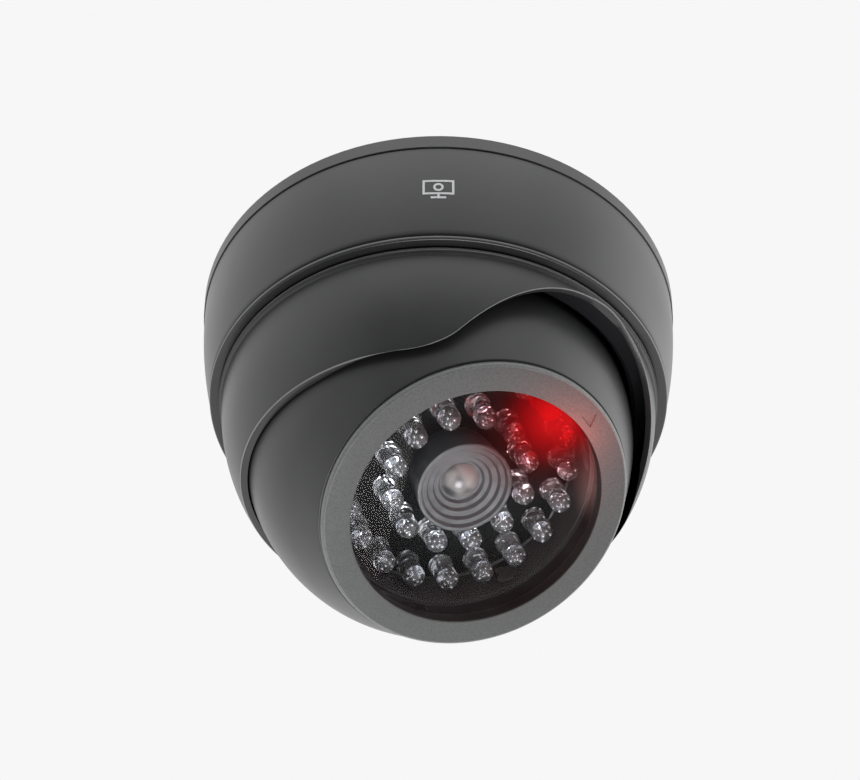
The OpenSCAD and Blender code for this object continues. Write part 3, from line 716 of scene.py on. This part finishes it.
def cover_shape():
    """The cover as a grid of its sections, with 1 for edges with a painted highlight, 2 for inner faces
    painted near black as shade, 3 for the lip.
    """
    sections = [cover_column(*c) for c in cover_columns()]
    size = len(sections[0])
    painted_highlight = COVER_ROWS + HIGHLIGHT_ROWS
    lip_end = COVER_ROWS + EDGE_STEPS + TIP_ROWS
    flange_points = FLANGE_TOP_STEPS + FLANGE_LOW_STEPS + 2
    verts = [tuple(p) for section in sections for p in section]
    faces, shades = [], []
    for i in range(len(sections)):
        n = (i + 1) % len(sections)
        for k in range(size):
            m = (k + 1) % size
            faces.append([i * size + k, i * size + m, n * size + m, n * size + k])
            # painted highlight on the lip's outer rounding and the flange's edge; painted shade on the
            # faces inside the cover
            edge = COVER_ROWS <= k < painted_highlight or k > size - FLANGE_LOW_STEPS - 2
            lip = painted_highlight <= k < lip_end
            inside = lip_end <= k < size - flange_points
            shades.append(1 if edge else 2 if inside else 3 if lip else 0)
    return (verts, faces), shades


cover, cover_shades = cover_shape()
make("cover_shell", cover, BLACK, "cover", ["dome_cover"], sharp=40,
     shades=((EDGE_PAINTED_HIGHLIGHT, INSIDE_PAINTED_SHADE, WALL), cover_shades))


# ---------------------------------------------------------------- ball and front ring

def ball_outline():
    """Half section of the ball: front edge, cone and sphere, then back inside."""
    back = BALL_R * math.cos(math.radians(CONE_ANGLE))
    back_r = BALL_R * math.sin(math.radians(CONE_ANGLE))
    slope = 1 / math.tan(math.radians(CONE_ANGLE))
    front_r = back_r - (CONE_FRONT - back) * slope
    wall = BALL_WALL / math.sin(math.radians(CONE_ANGLE))
    front = rounded([
        (front_r - wall, CONE_FRONT, 0.1),
        (front_r, CONE_FRONT, 0.25),
        (back_r, back, 0),
        (back_r - 5, back - 5, 0),
    ])[:-2]
    outer = arc((0, 0), BALL_R, 90 - CONE_ANGLE, 90 - 128, 90)
    inner = arc((0, 0), BALL_R - BALL_WALL, 90 - 128, 90 - CONE_ANGLE, 40)
    return front + outer + inner


def ball_piece():
    """The ball, cut off behind by one sloping plane, with the posts for the tray's screws."""
    shape = revolved(ball_outline(), SIDES)
    outline = [(0, TRAY_FRONT), (POST_R, TRAY_FRONT), (POST_R, POST_TOP), (0, POST_TOP)]
    post = revolved(outline, 40, closed=False)
    posts = [placed(post, ring_place(3, POST_RING_R, 0, i)) for i in range(3)]
    piece = make("ball_skin", shape, BLACK, "ball", ["ball_shell"], matrix=BALL_FRAME)
    front, back = math.radians(CUT_FRONT), math.radians(CUT_BACK)
    high = Vector((0, BALL_R * math.sin(front), BALL_R * math.cos(front)))
    low = Vector((0, -BALL_R * math.sin(back), BALL_R * math.cos(back)))
    normal = Vector((0, -(high - low).z, (high - low).y))
    tidy = bmesh.new()
    tidy.from_mesh(piece.data)
    everything = tidy.verts[:] + tidy.edges[:] + tidy.faces[:]
    bmesh.ops.bisect_plane(tidy, geom=everything, plane_co=BALL_FRAME @ (low * MM),
                           plane_no=BALL_FRAME.to_3x3() @ normal, clear_inner=True)
    rims = [e for e in tidy.edges if e.is_boundary]
    bmesh.ops.bridge_loops(tidy, edges=rims)
    bmesh.ops.recalc_face_normals(tidy, faces=tidy.faces)
    for face in tidy.faces:
        face.smooth = True
    tidy.to_mesh(piece.data)
    tidy.free()
    piece.data.set_sharp_from_angle(angle=math.radians(35))
    make("ball_posts", joined(posts), BLACK, "ball", ["ball_shell"], matrix=BALL_FRAME)


def bezel_outline():
    """Half section of the front ring and the skirt that plugs into the ball."""
    return rounded([
        (SIGHT_R, BEZEL_FRONT, 0.3),
        (BEZEL_R, BEZEL_FRONT, BEZEL_ROUND),
        (BEZEL_R, BEZEL_BACK, 0.15),
        (SKIRT_OUT_R, BEZEL_BACK, 0),
        (SKIRT_OUT_R, SKIRT_BACK, 0.2),
        (SKIRT_IN_R, SKIRT_BACK, 0.1),
        (SKIRT_IN_R, BEZEL_BACK, 0),
        (SIGHT_R + SIGHT_WALL, BEZEL_BACK, 0),
        (SIGHT_R + SIGHT_WALL, PANE_FRONT, 0.1),
        (SIGHT_R, PANE_FRONT, 0.15),
    ], steps=8)


def cut_away(piece, tool):
    """Cuts tool out of piece and keeps the result as the piece's own mesh."""
    modifier = piece.modifiers.new("cut", "BOOLEAN")
    modifier.operation = "DIFFERENCE"
    modifier.solver = "EXACT"
    modifier.object = tool
    bpy.context.view_layer.update()
    result = bpy.data.meshes.new_from_object(piece.evaluated_get(bpy.context.evaluated_depsgraph_get()))
    piece.modifiers.clear()
    piece.data = result
    result.set_sharp_from_angle(angle=math.radians(30))
    bpy.data.objects.remove(tool)


def index_tool():
    """Triangle with drafted walls, which points outwards on the ring."""
    corners = []
    for height, size in ((-INDEX_DEPTH, INDEX_SIZE - 0.25), (0.4, INDEX_SIZE + 0.3)):
        for i in range(3):
            a = math.radians(90 + 120 * i)
            corners.append((size * math.cos(a), size * math.sin(a), BEZEL_FRONT + height))
    faces = [[2, 1, 0], [3, 4, 5], [0, 1, 4, 3], [1, 2, 5, 4], [2, 0, 3, 5]]
    place = Matrix.Rotation(math.radians(INDEX_TURN), 4, "Z") @ Matrix.Translation((0, INDEX_R, 0))
    verts = [BALL_FRAME @ (place @ Vector(c) * MM) for c in corners]
    mesh = bpy.data.meshes.new("index_tool")
    mesh.from_pydata(verts, [], faces)
    tool = bpy.data.objects.new("index_tool", mesh)
    bpy.context.scene.collection.objects.link(tool)
    return tool


ball_piece()
ring = revolved(bezel_outline(), SIDES)
bands = [0] * (len(ring[1]) // SIDES)
bands[10:17] = [2] * 7
bands[-9:-1] = [3] * 8
bands[-1] = 1
# 1 on the bore, in darker satin black as painted shade; 2 on the outer rounding, a paler grain as a
# painted highlight; 3 on the bore's inner edge, a pale line as a painted highlight
bezel = make("front_ring", ring, GRAINED, "ball", ["front_bezel"], matrix=BALL_FRAME,
             shades=((BLACK, GRAINED_PAINTED_HIGHLIGHT, EDGE_PAINTED_HIGHLIGHT), [band for band in bands for _ in range(SIDES)]))
cut_away(bezel, index_tool())
pane_outline = rounded([
    (0, PANE_BACK, 0),
    (PANE_R, PANE_BACK, 0.15),
    (PANE_R, PANE_FRONT, 0.15),
    (0, PANE_FRONT, 0),
])
make("window_pane", revolved(pane_outline, 192, closed=False), PANE, "ball", ["window"],
     matrix=BALL_FRAME)


# ---------------------------------------------------------------- tray, lamps and lens

def tray_floor_shape():
    """The plate that the lamps stand on."""
    outline = [(0, TRAY_BACK), (TRAY_LOWER_R, TRAY_BACK), (TRAY_LOWER_R, TRAY_FRONT), (0, TRAY_FRONT)]
    return revolved(outline, 192, closed=False)


def tray_wall_shape():
    """The smooth stepped wall round the tray, up to the gasket."""
    return revolved(rounded([
        (TRAY_LOWER_R, TRAY_BACK, 0),
        (TRAY_R, TRAY_BACK, 0.3),
        (TRAY_R, TRAY_TOP, 0.1),
        (TRAY_UPPER_R, TRAY_TOP, 0.15),
        (TRAY_UPPER_R, TRAY_STEP, 0.2),
        (TRAY_LOWER_R, TRAY_STEP, 0.2),
        (TRAY_LOWER_R, TRAY_FRONT + 0.7, 0),
        (TRAY_LOWER_R - 0.2, TRAY_FRONT + 0.2, 0),
        (TRAY_LOWER_R - 0.7, TRAY_FRONT, 0),
        (TRAY_LOWER_R, TRAY_FRONT - 0.1, 0),
    ]), 192)


def lamp_shape():
    """A 5 mm lamp: collar, straight body and dome."""
    body = [(0, TRAY_FRONT), (LAMP_FLANGE_R - 0.1, TRAY_FRONT)]
    body += rounded([(LAMP_FLANGE_R, TRAY_FRONT, 0), (LAMP_FLANGE_R, TRAY_FRONT + 1, 0.2),
                     (LAMP_R, TRAY_FRONT + 1, 0.12), (LAMP_R, TRAY_FRONT + 4, 0)])
    body += [(r, z) for r, z in arc((0, LAMP_TIP - LAMP_R), LAMP_R, 0, 90, 14)]
    body[-1] = (0, LAMP_TIP)
    return revolved(body, 48, closed=False)


def block(size, centre):
    """A small flat metal strip with chamfered corners."""
    x, y, z = (s / 2 for s in size)
    c = min(x, y) * 0.4
    right_side = [(x - c, -y), (x, -y + c), (x, y - c), (x - c, y)]
    ring = right_side + [(-px, -py) for px, py in right_side]
    verts = [(centre[0] + px, centre[1] + py, centre[2] + pz) for pz in (-z, z) for px, py in ring]
    faces = [list(range(7, -1, -1)), list(range(8, 16))]
    faces += [[i, (i + 1) % 8, (i + 1) % 8 + 8, i + 8] for i in range(8)]
    return verts, faces


DRAWN_TIP = 20


def lead_frame():
    """The metal inside a lamp, drawn for a tip at DRAWN_TIP: anvil with its cup, post, bond wire
    and the small bright facets under the dome."""
    section = [(0, 15.1), (0.4, 15.15), (0.7, 15.8), (0.85, 15.8), (0.85, 15.3), (0.5, 14.7), (0, 14.7)]
    cup = revolved(section, 20, closed=False)
    anvil = block((1.2, 0.5, 2.9), (-0.35, 0, 13.3))
    foot = block((0.5, 0.5, 1.4), (-1.27, 0, 11.8))
    post = block((0.7, 0.5, 2.4), (1.25, 0, 14.0))
    leg = block((0.5, 0.5, 2.2), (1.27, 0, 12.2))
    cup = placed(cup, Matrix.Translation((-0.35, 0, 0)))
    pearls = []
    for count, radius, height, size in ((1, 0, 18.2, 0.3), (4, 0.75, 17.9, 0.26), (7, 1.45, 17.3, 0.3)):
        for i in range(count):
            turn = TURN * i / count + height
            pearl = revolved(arc((0, 0), size, -90, 90, 6), 10, closed=False)
            rise = 0.2 * math.sin(5 * turn)
            place = Vector((radius * math.cos(turn), radius * math.sin(turn), height + rise))
            pearls.append(placed(pearl, Matrix.Translation(place)))
    wire = []
    for i in range(7):
        a = math.pi * i / 6
        wire.append((0.45 - 0.8 * math.cos(a), 0, 15.5 + 0.8 * math.sin(a)))
    strand = []
    for first, last in zip(wire, wire[1:]):
        middle = (Vector(first) + Vector(last)) / 2
        step = Vector(last) - Vector(first)
        turn = step.to_track_quat("Z", "Y").to_matrix().to_4x4()
        piece = block((0.1, 0.1, step.length * 1.05), (0, 0, 0))
        strand.append(placed(piece, Matrix.Translation(middle) @ turn))
    whole = joined([cup, anvil, foot, post, leg] + pearls + strand)
    return placed(whole, Matrix.Translation((0, 0, LAMP_TIP - DRAWN_TIP)))


def lamp_places():
    """Places of the clear lamps in the inner ring and in the outer ring."""
    inner = [ring_place(INNER_COUNT, INNER_RING_R, INNER_FIRST, i) for i in range(INNER_COUNT)]
    outer = [ring_place(OUTER_COUNT, OUTER_RING_R, OUTER_FIRST, i) for i in range(1, OUTER_COUNT)]
    return inner, outer


def lens_outline():
    """Half section of the imitation lens: a funnel of ringed steps."""
    corners = [(0, TRAY_FRONT, 0), (LENS_R - LENS_TAPER, TRAY_FRONT, 0), (LENS_R, LENS_TOP, 0.3)]
    top = LENS_TOP
    for r in LENS_RINGS:
        corners.append((r + LENS_STEP * LENS_FLARE, top, 0.12))
        top -= LENS_STEP
        corners.append((r, top, 0.1))
    corners.append((0, top, 0))
    return rounded(corners, steps=5)


def glass_shape():
    """The lens's glass dome on its seat."""
    seat = LENS_TOP - len(LENS_RINGS) * LENS_STEP
    centre = seat + GLASS_T - GLASS_DOME_R
    edge = math.degrees(math.acos(GLASS_R / GLASS_DOME_R))
    dome = arc((0, centre), GLASS_DOME_R, edge, 90, 24)
    return revolved([(0, seat), (GLASS_R, seat)] + dome[:-1] + [(0, seat + GLASS_T)], 96, closed=False)


make("tray_floor", tray_floor_shape(), INNER, "ball", ["lamp_tray"], matrix=BALL_FRAME)
make("tray_wall", tray_wall_shape(), TRAY_WALL_PAINTED_SHEEN, "ball", ["lamp_tray"], matrix=BALL_FRAME)
inner_places, outer_places = lamp_places()
lamp = lamp_shape()
random.seed(5)
frames = []
for place in inner_places + outer_places:
    turn = Matrix.Rotation(random.uniform(0, TURN), 4, "Z")
    lean = Matrix.Rotation(math.radians(random.uniform(-3, 3)), 4, "X")
    frames.append(placed(lead_frame(), place @ turn @ lean))
make("inner_lamp_ring", joined([placed(lamp, p) for p in inner_places]), RESIN, "ball",
     ["inner_lamps"], matrix=BALL_FRAME)
make("outer_lamp_ring", joined([placed(lamp, p) for p in outer_places]), RESIN, "ball",
     ["outer_lamps"], matrix=BALL_FRAME)
make("lead_frames", joined(frames), SILVER, "ball", matrix=BALL_FRAME)
make("red_lamp", placed(lamp, lamp_place), LIT, "ball", ["flashing_lamp"], matrix=BALL_FRAME)
make("lens_funnel", revolved(lens_outline(), 160, closed=False), SMOKY, "ball",
     ["lens_barrel"], matrix=BALL_FRAME)
make("lens_dome", glass_shape(), GLASS_PAINTED_REFLECTIONS, "ball", ["lens_glass"], matrix=BALL_FRAME)


# ---------------------------------------------------------------- carried-over nodes

NODE_MATERIALS = {
    "mounting_plate": RIM,
    "base_mark": PRINT,
    "retaining_ring": INNER,
    "ball_carrier": INNER,
    "window_gasket": FOAM,
    "battery_holder": INNER,
    "battery_1": CELL,
    "battery_2": CELL,
    "flasher_board": BOARD,
    "flasher_chip": CHIP,
    "switch_knob": CHIP,
    "wire_red": RED_WIRE,
    "wire_black": BLACK_WIRE,
}
for node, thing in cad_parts.items():
    for material_slot in thing.material_slots:
        material_slot.material = NODE_MATERIALS.get(node, STEEL)


# ---------------------------------------------------------------- light, floor and camera

CAMERA_AZIMUTH = 47
CAMERA_BELOW = 45.31
CAMERA_DISTANCE = 334.2
CAMERA_TARGET = -21.9
LENS_MM = 56.52
SHIFT_X = -0.0098


def set_camera():
    """Camera below the ceiling, looking up at the notch's side."""
    turn, rise = math.radians(CAMERA_AZIMUTH), math.radians(CAMERA_BELOW)
    ahead = Vector((math.sin(turn) * math.cos(rise), math.cos(turn) * math.cos(rise), math.sin(rise)))
    right = Vector((math.cos(turn), -math.sin(turn), 0))
    up = right.cross(ahead)
    data = bpy.data.cameras.new("camera")
    data.lens = LENS_MM
    data.sensor_width = 36
    data.shift_x = SHIFT_X
    data.clip_start = 0.01
    camera = bpy.data.objects.new("camera", data)
    bpy.context.scene.collection.objects.link(camera)
    spot = Vector((0, 0, CAMERA_TARGET * MM)) - ahead * CAMERA_DISTANCE * MM
    turned = Matrix((right, up, -ahead)).transposed().to_4x4()
    camera.matrix_world = Matrix.Translation(spot) @ turned
    bpy.context.scene.camera = camera
    return right, up, ahead


def softbox(name, direction, distance, size, power, colour=(1, 1, 1)):
    """A large square lamp that faces the object from a direction."""
    data = bpy.data.lights.new(name, "AREA")
    data.size = size
    data.energy = power
    data.color = colour
    light = bpy.data.objects.new(name, data)
    bpy.context.scene.collection.objects.link(light)
    centre = Vector((0, 0, -0.03))
    light.location = centre + direction.normalized() * distance
    light.rotation_euler = (centre - light.location).to_track_quat("-Z", "Y").to_euler()


def set_world(axis):
    """Near-white to look at, and a soft light that is strongest from one side."""
    world = bpy.data.worlds.new("studio")
    world.use_nodes = True
    bpy.context.scene.world = world
    tree = world.node_tree
    place = tree.nodes.new("ShaderNodeTexCoord")
    along = tree.nodes.new("ShaderNodeVectorMath")
    along.operation = "DOT_PRODUCT"
    along.inputs[1].default_value = axis.normalized()
    tree.links.new(place.outputs["Generated"], along.inputs[0])
    ramp = tree.nodes.new("ShaderNodeMapRange")
    ramp.interpolation_type = "SMOOTHSTEP"
    for key, value in (("From Min", -0.85), ("From Max", -0.05), ("To Min", 0.14), ("To Max", 1.2)):
        ramp.inputs[key].default_value = value
    tree.links.new(along.outputs["Value"], ramp.inputs["Value"])
    path = tree.nodes.new("ShaderNodeLightPath")
    seen = tree.nodes.new("ShaderNodeMix")
    tree.links.new(path.outputs["Is Camera Ray"], seen.inputs[0])
    tree.links.new(ramp.outputs["Result"], seen.inputs[2])
    seen.inputs[3].default_value = 0.93
    back = tree.nodes["Background"]
    back.inputs["Color"].default_value = (1, 1, 1, 1)
    tree.links.new(seen.outputs[0], back.inputs["Strength"])


def set_floor():
    """Pale floor, far below the object and hidden from its diffuse and glossy rays."""
    mesh = bpy.data.meshes.new("floor")
    half, low = 12.0, -0.8
    mesh.from_pydata([(-half, -half, low), (half, -half, low), (half, half, low), (-half, half, low)], [],
                     [[0, 1, 2, 3]])
    floor = bpy.data.objects.new("floor", mesh)
    bpy.context.scene.collection.objects.link(floor)
    n = Nodes("floor_paint")
    n.set(Base_Color=n.blend(n.noise(0.002), (0.765, 0.765, 0.765), (0.785, 0.785, 0.785)), Roughness=0.9)
    mesh.materials.append(n.material)
    floor.visible_glossy = False
    floor.visible_diffuse = False


def red_glow():
    """Red light of the lit lamp: one light in front of the ring and one behind the pane."""
    lights = (
        ("red_spill", OUTER_RING_R + 0.5, BEZEL_FRONT + 7, 0.012, 5),
        ("red_inside", OUTER_RING_R - 3, 25, 0.0006, 3),
    )
    for name, radius, height, power, size in lights:
        data = bpy.data.lights.new(name, "POINT")
        data.energy = power
        data.color = (1.0, 0.14, 0.10)
        data.shadow_soft_size = size * MM
        light = bpy.data.objects.new(name, data)
        bpy.context.scene.collection.objects.link(light)
        light.visible_camera = False
        light.visible_glossy = False
        light.visible_transmission = False
        spot = ring_place(OUTER_COUNT, radius, OUTER_FIRST, 0) @ Vector((0, 0, height))
        light.location = BALL_FRAME @ (spot * MM)
        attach(light, "ball")


right, up, ahead = set_camera()
set_world(ahead)
softbox("softbox_right", right + ahead * 0.2, 0.8, 0.9, 2.0)
softbox("softbox_top", up + ahead * 0.1, 0.8, 0.9, 1.5)
softbox("softbox_below", Vector((0.1, -0.05, -1)), 0.6, 0.3, 1.7)
set_floor()
red_glow()
bpy.context.scene.view_settings.view_transform = "Standard"
